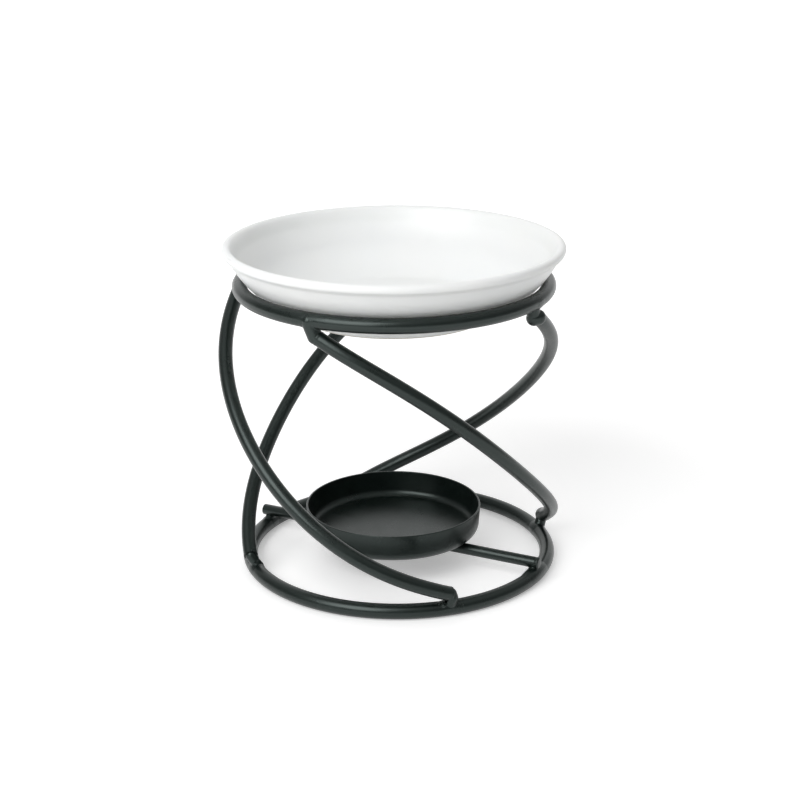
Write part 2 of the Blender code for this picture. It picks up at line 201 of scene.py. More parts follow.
# Sprayed paint: its colour and roughness, the colour of its mottling and that colour's share, the scales of
# the mottling and of the fine grain, the change of the roughness, the grain's share of the height, and the
# strength and tint of the gloss
PAINT_COLOUR = (0.0021, 0.0044, 0.0036)
PAINT_ROUGHNESS = 0.30
MOTTLE_COLOUR = (0.009, 0.015, 0.0135, 1.0)
MOTTLE_SHARE = 0.35
MOTTLE_SCALE = 140.0
GRAIN_SCALE = 4200.0
ROUGHNESS_CHANGE = (-0.05, 0.07)
GRAIN_HEIGHT = 0.25
PAINT_SPECULAR = 0.52
PAINT_SPECULAR_TINT = (0.86, 1.0, 0.96, 1.0)

# Paints: the scale of the orange peel, the strength of the mottling, and the depth of the peel
PAINTS = {
    "bar_paint": (900.0, 0.5, 0.00003),
    "weld_paint": (1500.0, 0.9, 0.00006),
    "cup_paint": (700.0, 0.4, 0.00002),
}

# Glaze: the scale and depth of its waves, the scale and colour of its cooler patches, the scale and strength
# of the change in its roughness, and its translucency (weight, share of each colour, and depth)
WAVE_SCALE = 45.0
WAVE_DEPTH = 0.00010
COOL_SCALE = 30.0
COOL_SHARES = (0.985, 0.992, 1.0, 1.0)
GLOSS_SCALE = 220.0
GLOSS_CHANGE = (0.85, 1.15)
TRANSLUCENCY = 0.5
TRANSLUCENT_SHARES = (1.0, 1.0, 0.95)
TRANSLUCENT_DEPTH = 0.004

# Bare biscuit under the bowl's foot: the heights above the foot between which the glaze begins, the scale and
# two colours of its specks, and its roughness
GLAZE_START = (0.00025, 0.00045)
SPECK_SCALE = 1800.0
BISCUIT_COLOURS = ((0.62, 0.58, 0.52, 1.0), (0.72, 0.69, 0.63, 1.0))
BISCUIT_ROUGHNESS = 0.8

# Spans of a noise's value over which patches fade in, softly and more softly, and of the sum of two noises
PATCH_SPAN = (0.35, 0.65)
SOFT_SPAN = (0.3, 0.7)
SUM_SPAN = (0.6, 1.4)

# Stage: the floor, the distances from its middle between which its own glow grows and from what to what, the
# softbox's place, aim and size, the camera's sensor, and the photograph's size in pixels
FLOOR_SIZE = 8.0
FLOOR_COLOUR = (0.86, 0.86, 0.86, 1.0)
FLOOR_ROUGHNESS = 0.6
GLOW_SPAN = (0.15, 0.9)
GLOW = (0.34, 1.0)
KEY_PLACE = (-0.50, -0.68, 0.71)
KEY_TARGET = (0.0, 0.0, 0.05)
KEY_SIZE = 0.80
SENSOR_WIDTH = 36.0
PHOTO_SIZE = 800
WHITE = (1.0, 1.0, 1.0, 1.0)

# Surroundings: the spans of a direction's Y on the camera's side and behind the lamp, and of its Z overhead,
# over which their strength changes
CAMERA_SPAN = (-0.95, -0.65)
BEHIND_SPAN = (0.45, 0.85)
OVERHEAD_SPAN = (0.4, 0.95)


class LampSizes(bpy.types.PropertyGroup):
    """Sizes of the lamp's pieces."""

    leg_bar: bpy.props.FloatProperty(
        name="Leg bar", description="Thickness of the round bar of the legs", default=0.0050, unit="LENGTH")
    cut_edge: bpy.props.FloatProperty(
        name="Cut edge", description="Rounding of the edges where the bars are cut", default=0.0003,
        unit="LENGTH")
    crossbar_angle: bpy.props.FloatProperty(
        name="Crossbar angle", description="Turn of the crossbar from the left-right direction",
        default=math.radians(-27.0), subtype="ANGLE")
    crossbar_length: bpy.props.FloatProperty(
        name="Crossbar length", description="Length of the crossbar", default=0.1123, unit="LENGTH")
    crossbar_chamfer: bpy.props.FloatProperty(
        name="Crossbar chamfer", description="Rounding of the crossbar's ends", default=0.0004, unit="LENGTH")
    cup_sheet: bpy.props.FloatProperty(
        name="Cup sheet", description="Thickness of the sheet of the candle cup", default=0.0007,
        unit="LENGTH")
    cup_corner: bpy.props.FloatProperty(
        name="Cup corner", description="Outer radius between the cup's floor and wall", default=0.0034,
        unit="LENGTH")
    cup_draft: bpy.props.FloatProperty(
        name="Cup draft", description="How much the cup's wall leans out", default=0.0004, unit="LENGTH")
    bowl_flare: bpy.props.FloatProperty(
        name="Bowl flare", description="How far the bowl's rim stands out past its foot", default=0.0255,
        unit="LENGTH")
    bowl_bulge: bpy.props.FloatProperty(
        name="Bowl bulge", description="How far the bowl's wall bulges from a straight line",
        default=0.0032, unit="LENGTH")
    bowl_lip: bpy.props.FloatProperty(
        name="Bowl lip", description="Thickness of the bowl's rounded lip", default=0.0032, unit="LENGTH")
    bowl_wall: bpy.props.FloatProperty(
        name="Bowl wall", description="Thickness of the bowl's wall", default=0.0021, unit="LENGTH")
    bowl_floor: bpy.props.FloatProperty(
        name="Bowl floor", description="Height of the bowl's floor above its foot", default=0.0032,
        unit="LENGTH")


class LampFinish(bpy.types.PropertyGroup):
    """Colours and sheen of the lamp's finishes."""

    paint_colour: bpy.props.FloatVectorProperty(
        name="Paint", description="Colour of the paint on the stand", default=PAINT_COLOUR,
        subtype="COLOR")
    paint_roughness: bpy.props.FloatProperty(
        name="Paint roughness", description="Roughness of the paint", default=PAINT_ROUGHNESS,
        subtype="FACTOR")
    glaze_colour: bpy.props.FloatVectorProperty(
        name="Glaze", description="Colour of the glazed bowl", default=(0.84, 0.85, 0.84), subtype="COLOR")
    glaze_roughness: bpy.props.FloatProperty(
        name="Glaze roughness", description="Roughness of the glaze", default=0.34, subtype="FACTOR")


class StageSettings(bpy.types.PropertyGroup):
    """Camera and light of the stage."""

    lens: bpy.props.FloatProperty(
        name="Lens", description="Focal length of the camera", default=77.49, subtype="DISTANCE_CAMERA")
    distance: bpy.props.FloatProperty(
        name="Distance", description="How far the camera stands in front of the stand", default=0.5788,
        unit="LENGTH")
    height: bpy.props.FloatProperty(
        name="Height", description="Height of the camera above the table", default=0.25775, unit="LENGTH")
    pitch: bpy.props.FloatProperty(
        name="Pitch", description="How far the camera looks down", default=math.radians(18.94),
        subtype="ANGLE")
    yaw: bpy.props.FloatProperty(
        name="Yaw", description="How far the camera looks to the right", default=0.0015, subtype="ANGLE")
    roll: bpy.props.FloatProperty(
        name="Roll", description="How far the camera is turned about its view", default=-0.0042,
        subtype="ANGLE")
    key_power: bpy.props.FloatProperty(
        name="Key light", description="Power of the soft light at the upper left", default=8.5, unit="POWER")
    backdrop: bpy.props.FloatProperty(
        name="Backdrop", description="Strength of the white surroundings behind the lamp", default=0.95)
    surround: bpy.props.FloatProperty(
        name="Surround", description="Strength of the grey surroundings at the sides", default=0.26)
    overhead: bpy.props.FloatProperty(
        name="Overhead", description="Strength that the surroundings gain overhead", default=0.46)
    camera_side: bpy.props.FloatProperty(
        name="Camera side", description="Strength of the dim surroundings on the camera's side", default=0.24)


# Modelling helpers


def deselect():
    """Leave edit mode and deselect everything."""
    active = bpy.context.object
    if active and active.mode != "OBJECT":
        bpy.ops.object.mode_set(mode="OBJECT")
    bpy.ops.object.select_all(action="DESELECT")


def only(piece):
    """Make a piece the one that operators act on."""
    deselect()
    piece.select_set(True)
    bpy.context.view_layer.objects.active = piece
    return piece


def apply_modifier(piece, kind, **settings):
    """Add a modifier with its settings to a piece, and apply it."""
    only(piece)
    modifier = piece.modifiers.new(kind.lower(), kind)
    for key, value in settings.items():
        setattr(modifier, key, value)
    bpy.ops.object.modifier_apply(modifier=modifier.name)


def join(pieces):
    """Join several meshes into the first."""
    only(pieces[0])
    for piece in pieces[1:]:
        piece.select_set(True)
    bpy.ops.object.join()
    return bpy.context.object


def settle(piece, name, material, body, nodes):
    """Name and shade a finished piece, put its place into its mesh, and let it ride on its body."""
    only(piece)
    bpy.ops.object.transform_apply(location=True, rotation=True, scale=True)
    bpy.ops.object.shade_smooth_by_angle(angle=SMOOTH_ANGLE)
    piece.name = name
    piece.data.name = name
    piece.data.materials.clear()
    piece.data.materials.append(material)
    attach(piece, body)
    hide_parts(*nodes)
    return piece


def arc(centre, radius, start, end, steps):
    """Points of a circular arc, both ends included. Angles are in radians."""
    angles = [start + (end - start) * step / steps for step in range(steps + 1)]
    return [(centre[0] + radius * math.cos(a), centre[1] + radius * math.sin(a)) for a in angles]


def spun(profile, centre):
    """A line of (radius, height) points, spun once round an upright axis through a centre."""
    deselect()
    start = (centre.x + profile[0][0], centre.y, profile[0][1])
    bpy.ops.mesh.primitive_plane_add(size=SEED_SIZE, location=start)
    bpy.ops.object.mode_set(mode="EDIT")
    bpy.ops.mesh.select_mode(type="VERT")
    bpy.ops.mesh.merge(type="CENTER")
    for here, there in zip(profile, profile[1:]):
        step = (there[0] - here[0], 0.0, there[1] - here[1])
        bpy.ops.mesh.extrude_region_move(TRANSFORM_OT_translate={"value": step})
    bpy.ops.mesh.select_all(action="SELECT")
    bpy.ops.mesh.spin(steps=SPIN_STEPS, angle=math.tau, center=centre, axis=(0, 0, 1))
    bpy.ops.mesh.select_all(action="SELECT")
    bpy.ops.mesh.remove_doubles(threshold=MERGE)
    bpy.ops.mesh.normals_make_consistent(inside=False)
    bpy.ops.object.mode_set(mode="OBJECT")
    return bpy.context.object


def swept(points, radius, radii=None):
    """A round bar along a line of points. Its radius can vary from point to point."""
    deselect()
    bpy.ops.curve.primitive_nurbs_path_add()
    curve = bpy.context.object.data
    curve.splines.clear()
    spline = curve.splines.new("POLY")
    spline.points.add(len(points) - 1)
    for index, point in enumerate(points):
        spline.points[index].co = (*point, 1.0)
        spline.points[index].radius = radii[index] / radius if radii else 1.0
    curve.bevel_depth = radius
    curve.bevel_resolution = BAR_RESOLUTION
    curve.use_fill_caps = True
    bpy.ops.object.convert(target="MESH")
    return bpy.context.object


def ball(centre, radius):
    """A ball, as a piece of a weld."""
    deselect()
    bpy.ops.mesh.primitive_uv_sphere_add(
        segments=BALL_SEGMENTS, ring_count=BALL_SEGMENTS // 2, radius=radius, location=centre)
    return bpy.context.object


def rod(start, start_radius, end, end_radius):
    """Pieces of a tapered rod with round ends."""
    pieces = [ball(start, start_radius), ball(end, end_radius)]
    if (end - start).length > SHORTEST_ROD:
        pieces.append(swept([start, end], start_radius, [start_radius, end_radius]))
    return pieces


def fused(pieces, rounds):
    """One smooth lump of overlapping pieces."""
    lump = join(pieces)
    bpy.ops.object.transform_apply(location=True, rotation=True, scale=True)
    apply_modifier(lump, "REMESH", mode="VOXEL", voxel_size=WELD_VOXEL)
    apply_modifier(lump, "SMOOTH", factor=0.5, iterations=rounds)
    return lump


def skirt_on_ring(centre, radius, middle, half, rise, side):
    """Thin sleeve of weld metal over one side of a ring, which sinks into it away from the weld.

    The side is 1 for the ring's upper side and -1 for its lower side.
    """
    points = []
    radii = []
    for step in range(-SKIRT_STEPS, SKIRT_STEPS + 1):
        angle = middle + half * step / SKIRT_STEPS
        swell = rise - (SKIRT_DROP - SKIRT_RISE + rise) * (step / SKIRT_STEPS) ** 2
        lift = side * (max(0.0, swell) + SKIRT_SHIFT)
        points.append(centre + Vector((radius * math.cos(angle), radius * math.sin(angle), lift)))
        radii.append(RING_BAR / 2 + swell)
    return swept(points, RING_BAR / 2, radii)


def outward(angle):
    """Unit vector away from the stand's axis at an angle round the stand."""
    return Vector((math.sin(math.radians(angle)), -math.cos(math.radians(angle)), 0.0))


def leg_point(bend, share):
    """Point on a leg's centreline, from its upper end (share 0) to its lower end (share 1)."""
    leg_bar = bpy.context.scene.lamp_sizes.leg_bar
    top_height = TOP_LOW.z - LEG_TOP_GAP - leg_bar / 2
    foot_height = BOTTOM_HIGH.z + bend.foot_gap + leg_bar / 2
    height = top_height + (foot_height - top_height) * share
    height += bend.rise * math.sin(math.pi * share) + LEG_EASE * math.sin(math.tau * share)
    radius = TOP_RADIUS + (BOTTOM_RADIUS - TOP_RADIUS) * share
    radius += bend.top_out * (1 - share) + bend.foot_out * share + bend.bow * math.sin(math.pi * share)
    axis = BOTTOM_CENTRE.lerp(TOP_CENTRE, (height - BOTTOM_CENTRE.z) / (TOP_CENTRE.z - BOTTOM_CENTRE.z))
    return axis + radius * outward(bend.top + (bend.foot - bend.top) * share)


def leg_path(bend):
    """Points of a leg's centreline, from its upper end to its lower end."""
    return [leg_point(bend, step / LEG_STEPS) for step in range(LEG_STEPS + 1)]


# Materials


def shader_group(name, inputs, outputs):
    """A new shader node group with named inputs, each with a default value, and named outputs."""
    group = bpy.data.node_groups.new(name, "ShaderNodeTree")
    for label, kind, value in inputs:
        socket = group.interface.new_socket(label, in_out="INPUT", socket_type=kind)
        socket.default_value = value
    for label, kind in outputs:
        group.interface.new_socket(label, in_out="OUTPUT", socket_type=kind)
    return group, group.nodes.new("NodeGroupInput"), group.nodes.new("NodeGroupOutput")


def noise(tree, vector, scale, detail):
    """Noise with a scale that is a number or a socket."""
    node = tree.nodes.new("ShaderNodeTexNoise")
    node.inputs["Detail"].default_value = detail
    if isinstance(scale, float):
        node.inputs["Scale"].default_value = scale
    else:
        tree.links.new(scale, node.inputs["Scale"])
    tree.links.new(vector, node.inputs["Vector"])
    return node.outputs["Fac"]


def math_node(tree, operation, first, second, clamp=False):
    """Result of a math operation on two values, each a number or a socket."""
    node = tree.nodes.new("ShaderNodeMath")
    node.operation = operation
    node.use_clamp = clamp
    for socket, value in zip(node.inputs, (first, second)):
        if isinstance(value, (int, float)):
            socket.default_value = value
        else:
            tree.links.new(value, socket)
    return node.outputs[0]


def map_range(tree, value, low, high, to_low, to_high):
    """A value carried from the span between low and high to another span."""
    node = tree.nodes.new("ShaderNodeMapRange")
    for label, setting in (("From Min", low), ("From Max", high), ("To Min", to_low), ("To Max", to_high)):
        node.inputs[label].default_value = setting
    tree.links.new(value, node.inputs["Value"])
    return node.outputs["Result"]


def mix_colour(tree, factor, first, second):
    """Mix of two colours. The factor and the colours are values or sockets."""
    node = tree.nodes.new("ShaderNodeMix")
    node.data_type = "RGBA"
    for label, value in (("Factor", factor), ("A", first), ("B", second)):
        socket = next(s for s in node.inputs if s.name == label and s.enabled)
        if isinstance(value, (int, float, tuple)):
            socket.default_value = value
        else:
            tree.links.new(value, socket)
    return next(s for s in node.outputs if s.enabled)


def new_material(name):
    """A new material, its node tree and its shader."""
    material = bpy.data.materials.new(name)
    material.use_nodes = True
    return material, material.node_tree, material.node_tree.nodes["Principled BSDF"]


def use_bump(tree, shader, height, distance):
    """Let a height roughen a shader's surface, as deep as the distance."""
    bump = tree.nodes.new("ShaderNodeBump")
    bump.inputs["Distance"].default_value = distance
    tree.links.new(height, bump.inputs["Height"])
    tree.links.new(bump.outputs["Normal"], shader.inputs["Normal"])


def paint_group():
    """Sprayed satin paint: colour, roughness and height from orange peel, mottling and fine grain."""
    group, given, result = shader_group(
        "sprayed_paint",
        [("Colour", "NodeSocketColor", (*PAINT_COLOUR, 1.0)),
         ("Roughness", "NodeSocketFloat", PAINT_ROUGHNESS),
         ("Peel Scale", "NodeSocketFloat", PAINTS["bar_paint"][0]),
         ("Mottle", "NodeSocketFloat", PAINTS["bar_paint"][1])],
        [("Colour", "NodeSocketColor"), ("Roughness", "NodeSocketFloat"), ("Height", "NodeSocketFloat")])
    place = group.nodes.new("ShaderNodeTexCoord").outputs["Object"]
    mottle = noise(group, place, MOTTLE_SCALE, detail=3.0)
    grain = noise(group, place, GRAIN_SCALE, detail=2.0)
    peel = noise(group, place, given.outputs["Peel Scale"], detail=2.0)
    patch = map_range(group, mottle, *PATCH_SPAN, 0.0, 1.0)
    patch = math_node(group, "MULTIPLY", patch, given.outputs["Mottle"])
    lighter = mix_colour(group, MOTTLE_SHARE, given.outputs["Colour"], MOTTLE_COLOUR)
    group.links.new(mix_colour(group, patch, given.outputs["Colour"], lighter), result.inputs["Colour"])
    both = math_node(group, "ADD", mottle, grain)
    spread = map_range(group, both, *SUM_SPAN, *ROUGHNESS_CHANGE)
    group.links.new(math_node(group, "ADD", given.outputs["Roughness"], spread, clamp=True),
                    result.inputs["Roughness"])
    height = math_node(group, "ADD", peel, math_node(group, "MULTIPLY", grain, GRAIN_HEIGHT))
    group.links.new(height, result.inputs["Height"])
    return group


def paint(name):
    """One of the stand's paints, made the first time that it is asked for."""
    if name in bpy.data.materials:
        return bpy.data.materials[name]
    finish = bpy.context.scene.lamp_finish
    peel_scale, mottle, peel_depth = PAINTS[name]
    material, tree, shader = new_material(name)
    node = tree.nodes.new("ShaderNodeGroup")
    node.node_tree = bpy.data.node_groups.get("sprayed_paint") or paint_group()
    node.inputs["Colour"].default_value = (*finish.paint_colour, 1.0)
    node.inputs["Roughness"].default_value = finish.paint_roughness
    node.inputs["Peel Scale"].default_value = peel_scale
    node.inputs["Mottle"].default_value = mottle
    tree.links.new(node.outputs["Colour"], shader.inputs["Base Color"])
    tree.links.new(node.outputs["Roughness"], shader.inputs["Roughness"])
    shader.inputs["Specular IOR Level"].default_value = PAINT_SPECULAR
    shader.inputs["Specular Tint"].default_value = PAINT_SPECULAR_TINT
    use_bump(tree, shader, node.outputs["Height"], peel_depth)
    return material


def glaze_material():
    """White glaze over the bowl, and bare biscuit under its foot."""
    finish = bpy.context.scene.lamp_finish
    material, tree, shader = new_material("white_glaze")
    place = tree.nodes.new("ShaderNodeTexCoord").outputs["Object"]
    wave = noise(tree, place, WAVE_SCALE, detail=1.0)
    tint = map_range(tree, noise(tree, place, COOL_SCALE, detail=2.0), *PATCH_SPAN, 0.0, 1.0)
    colour = (*finish.glaze_colour, 1.0)
    cooler = tuple(channel * share for channel, share in zip(colour, COOL_SHARES))
    glazed = mix_colour(tree, tint, colour, cooler)
    rough = map_range(tree, noise(tree, place, GLOSS_SCALE, detail=2.0), *SOFT_SPAN, *GLOSS_CHANGE)
    rough = math_node(tree, "MULTIPLY", rough, finish.glaze_roughness)
    height = tree.nodes.new("ShaderNodeSeparateXYZ")
    tree.links.new(place, height.inputs[0])
    start, full = GLAZE_START
    bare = map_range(tree, height.outputs["Z"], BOWL_LOW.z + start, BOWL_LOW.z + full, 1.0, 0.0)
    speck = map_range(tree, noise(tree, place, SPECK_SCALE, detail=3.0), *SOFT_SPAN, 0.0, 1.0)
    biscuit = mix_colour(tree, speck, *BISCUIT_COLOURS)
    tree.links.new(mix_colour(tree, bare, glazed, biscuit), shader.inputs["Base Color"])
    bare_roughness = math_node(tree, "MULTIPLY", bare, BISCUIT_ROUGHNESS)
    tree.links.new(math_node(tree, "MAXIMUM", rough, bare_roughness), shader.inputs["Roughness"])
    shader.inputs["Subsurface Weight"].default_value = TRANSLUCENCY
    shader.inputs["Subsurface Radius"].default_value = TRANSLUCENT_SHARES
    shader.inputs["Subsurface Scale"].default_value = TRANSLUCENT_DEPTH
    use_bump(tree, shader, wave, WAVE_DEPTH)
    return material


# Pieces


class AROMALAMP_OT_rings(bpy.types.Operator):
    """Model the two rings of round bar"""

    bl_idname = "aromalamp.rings"
    bl_label = "Rings"

    def execute(self, context):
        rings = (("top", TOP_CENTRE, TOP_RADIUS), ("bottom", BOTTOM_CENTRE, BOTTOM_RADIUS))
        for side, centre, radius in rings:
            deselect()
            bpy.ops.mesh.primitive_torus_add(
                location=centre, major_radius=radius, minor_radius=RING_BAR / 2,
                major_segments=RING_STEPS, minor_segments=BAR_SIDES)
            settle(bpy.context.object, side + "_ring_bar", paint("bar_paint"), "stand", [side + "_ring"])
        return {"FINISHED"}


def round_cut_ends(piece, rounding):
    """Round the edges of a bar's two flat cut ends."""
    only(piece)
    bpy.ops.object.mode_set(mode="EDIT")
    bpy.ops.mesh.select_all(action="DESELECT")
    bpy.ops.object.mode_set(mode="OBJECT")
    for face in piece.data.polygons:
        face.select = len(face.vertices) > 4
    bpy.ops.object.mode_set(mode="EDIT")
    bpy.ops.mesh.select_mode(type="FACE")
    bpy.ops.mesh.region_to_loop()
    bpy.ops.mesh.bevel(offset=rounding, segments=EDGE_SEGMENTS, profile=0.5, affect="EDGES")
    bpy.ops.object.mode_set(mode="OBJECT")


class AROMALAMP_OT_legs(bpy.types.Operator):
    """Model the four twisted legs"""

    bl_idname = "aromalamp.legs"
    bl_label = "Legs"

    def execute(self, context):
        sizes = context.scene.lamp_sizes
        for side, bend in LEGS.items():
            leg = swept(leg_path(bend), sizes.leg_bar / 2)
            round_cut_ends(leg, sizes.cut_edge)
            settle(leg, side + "_leg_bar", paint("bar_paint"), "stand", ["leg_" + side])
        return {"FINISHED"}


class AROMALAMP_OT_crossbar(bpy.types.Operator):
    """Model the crossbar that carries the cup"""

    bl_idname = "aromalamp.crossbar"
    bl_label = "Crossbar"

    def execute(self, context):
        sizes = context.scene.lamp_sizes
        deselect()
        bpy.ops.mesh.primitive_cylinder_add(
            vertices=BAR_SIDES, radius=CROSSBAR_BAR / 2, depth=sizes.crossbar_length,
            location=(CROSSBAR_LOW + CROSSBAR_HIGH) / 2, rotation=(0.0, math.pi / 2, sizes.crossbar_angle))
        round_cut_ends(bpy.context.object, sizes.crossbar_chamfer)
        settle(bpy.context.object, "cross_bar", paint("bar_paint"), "stand", ["crossbar"])
        return {"FINISHED"}


class AROMALAMP_OT_leg_welds(bpy.types.Operator):
    """Model the welds at the legs' ends"""

    bl_idname = "aromalamp.leg_welds"
    bl_label = "Leg welds"

    def execute(self, context):
        for side, end in WELDS:
            self.weld(context.scene.lamp_sizes, side, end)
        return {"FINISHED"}

    def weld(self, sizes, side, end):
        """Weld metal between one end of a leg and its ring, with its sleeves and spatter."""
        bend = LEGS[side]
        spec = WELDS[(side, end)]
        path = leg_path(bend)
        centre = TOP_CENTRE
        radius = TOP_RADIUS
        if end == "foot":
            path.reverse()
            centre = BOTTOM_CENTRE
            radius = BOTTOM_RADIUS
        tip = path[0]
        along = (tip - path[1]).normalized()
        away = outward(bend.top if end == "top" else bend.foot)
        to_ring = Vector((0.0, 0.0, math.copysign(1.0, centre.z - tip.z)))
        bulb = tip + along * spec.bulb_at[0] + away * spec.bulb_at[1] + to_ring * spec.bulb_at[2]
        away = Vector((bulb.x - centre.x, bulb.y - centre.y, 0.0)).normalized()
        round_ring = (along - along.project(away) - along.project(to_ring)).normalized()
        root = centre + away * (radius + spec.root_at[1]) + round_ring * spec.root_at[0]
        root -= to_ring * spec.root_at[2]
        middle = math.atan2(root.y - centre.y, root.x - centre.x)
        metal = rod(tip, spec.bulb, bulb, spec.bulb) + rod(bulb, spec.neck, root, spec.root)
        if (side, end) not in GROOVED_WELDS:
            metal.append(self.skirt_on_leg(path, sizes.leg_bar / 2))
        half = (spec.root + SKIRT) / radius
        metal.append(skirt_on_ring(centre, radius, middle, half, SKIRT_RISE, -to_ring.z))
        turn = math.copysign(1.0, (bend.foot - bend.top) * (1.0 if end == "foot" else -1.0))
        for ahead, angle, size in SPATTER.get((side, end), ()):
            spot = middle + turn * ahead / radius
            reach = radius + RING_BAR / 2 * math.cos(math.radians(angle))
            rise = RING_BAR / 2 * math.sin(math.radians(angle))
            metal.append(ball(centre + Vector((reach * math.cos(spot), reach * math.sin(spot), 0.0))
                              - to_ring * rise, size))
        weld = fused(metal, LEG_WELD_ROUNDS)
        if (side, end) == ("left", "foot"):
            self.pierce(weld, centre, middle)
        name = side + "_" + end + "_weld_bead"
        settle(weld, name, paint("weld_paint"), "stand", ["weld_" + side + "_" + end])

    def skirt_on_leg(self, path, bar_radius):
        """Thin sleeve of weld metal over the leg's end, which sinks into the leg away from its end."""
        near = [point for point in path if (point - path[0]).length < SKIRT]
        radii = [bar_radius + SKIRT_RISE - SKIRT_DROP * (step / (len(near) - 1)) for step in range(len(near))]
        return swept(near, bar_radius, radii)

    def pierce(self, weld, centre, middle):
        """Blow a small pinhole into the outer side of the weld, where it leaves the ring."""
        angle = middle - PINHOLE_TURN
        reach = BOTTOM_RADIUS + PINHOLE_OUT
        x = centre.x + reach * math.cos(angle)
        y = centre.y + reach * math.sin(angle)
        mouth = Vector((x, y, PINHOLE_HEIGHT))
        hole = swept([mouth - PINHOLE_WAY * PINHOLE_DEPTH, mouth + PINHOLE_WAY * PINHOLE_DEPTH], PINHOLE)
        apply_modifier(weld, "BOOLEAN", operation="DIFFERENCE", object=hole, solver="EXACT")
        bpy.data.objects.remove(hole)


class AROMALAMP_OT_small_welds(bpy.types.Operator):
    """Model the welds on the crossbar, at the bottom ring and under the cup"""

    bl_idname = "aromalamp.small_welds"
    bl_label = "Crossbar and cup welds"

    def execute(self, context):
        angle = context.scene.lamp_sizes.crossbar_angle
        along = Vector((math.cos(angle), math.sin(angle), 0.0))
        reach = context.scene.lamp_sizes.crossbar_length / 2
        self.ring_weld("crossbar_weld_left", -along, 0.0, SKIRT_RISE, 0.0)
        self.ring_weld("crossbar_weld_right", along, reach, SWELL_RISE, SWELL_LENGTH)
        self.cup_weld("cup_weld_front", along)
        self.cup_weld("cup_weld_back", along)
        return {"FINISHED"}

    def ring_weld(self, node, along, reach, rise, extra):
        """Weld metal under the crossbar's end and on the ring beside it.

        Where a reach is given, as far as the bar's end, the weld also has a collar round that end.
        """
        low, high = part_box(node)
        centre = (low + high) / 2
        centre.z = BOTTOM_HIGH.z
        across = Vector((-along.y, along.x, 0.0)) * TACK_SPREAD
        down = Vector((0.0, 0.0, TACK_FALL))
        metal = rod(centre, TACK_RADIUS, centre - across - down, TACK_FOOT)
        metal += rod(centre, TACK_RADIUS, centre + across - down, TACK_FOOT)
        if reach:
            tip = (CROSSBAR_LOW + CROSSBAR_HIGH) / 2 + along * reach
            collar = [tip - along * back for back, lift in COLLAR]
            radii = [CROSSBAR_BAR / 2 + lift for back, lift in COLLAR]
            metal.append(swept(collar, CROSSBAR_BAR / 2, radii))
        middle = math.atan2(centre.y - BOTTOM_CENTRE.y, centre.x - BOTTOM_CENTRE.x)
        half = (TACK_RADIUS + SKIRT + extra) / BOTTOM_RADIUS
        metal.append(skirt_on_ring(BOTTOM_CENTRE, BOTTOM_RADIUS, middle, half, rise, 1.0))
        weld = fused(metal, RING_WELD_ROUNDS)
        settle(weld, node + "_bead", paint("weld_paint"), "stand", [node])

    def cup_weld(self, node, along):
        """Row of small ripples in the corner between the crossbar and the cup's underside."""
        low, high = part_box(node)
        centre = (low + high) / 2
        centre.z = CUP_LOW.z - CUP_TACK_DROP
        metal = []
        for step in range(-RIPPLES, RIPPLES + 1):
            share = step / RIPPLES
            size = CUP_TACK * math.sqrt(RIPPLE_FADE - share ** 2) * (1.0 + RIPPLE_CHANGE * (-1) ** step)
            metal.append(ball(centre + along * CUP_TACK_LENGTH / 2 * share, size))
        weld = fused(metal, CUP_WELD_ROUNDS)
        settle(weld, node + "_bead", paint("weld_paint"), "stand", [node])


class AROMALAMP_OT_candle_cup(bpy.types.Operator):
    """Model the pressed candle cup"""

    bl_idname = "aromalamp.candle_cup"
    bl_label = "Candle cup"

    def execute(self, context):
        sizes = context.scene.lamp_sizes
        sheet = sizes.cup_sheet
        corner = sizes.cup_corner
        height = CUP_HIGH.z - CUP_LOW.z
        corner_centre = (CUP_RADIUS - sizes.cup_draft - corner, corner)
        edge = sheet * CUP_EDGE
        rim_in = CUP_RADIUS - sheet
        profile = [(0.0, 0.0)] + arc(corner_centre, corner, -math.pi / 2, 0.0, CUP_CORNER_STEPS)
        profile += arc((CUP_RADIUS - edge, height - edge), edge, 0.0, math.pi / 2, CUP_EDGE_STEPS)
        profile += arc((rim_in + edge, height - edge), edge, math.pi / 2, math.pi, CUP_EDGE_STEPS)
        profile += arc(corner_centre, corner - sheet, 0.0, -math.pi / 2, CUP_CORNER_STEPS)
        profile += [(0.0, sheet)]
        cup = spun([(radius, z + CUP_LOW.z) for radius, z in profile], CUP_CENTRE)
        settle(cup, "pressed_cup", paint("cup_paint"), "stand", ["candle_cup"])
        return {"FINISHED"}


class AROMALAMP_OT_oil_bowl(bpy.types.Operator):
    """Model the glazed oil bowl"""

    bl_idname = "aromalamp.oil_bowl"
    bl_label = "Oil bowl"

    def execute(self, context):
        profile = bowl_profile(context.scene.lamp_sizes)
        bowl = spun([(radius, z + BOWL_LOW.z) for radius, z in profile], BOWL_CENTRE)
        settle(bowl, "glazed_bowl", glaze_material(), "bowl", ["oil_bowl"])
        return {"FINISHED"}


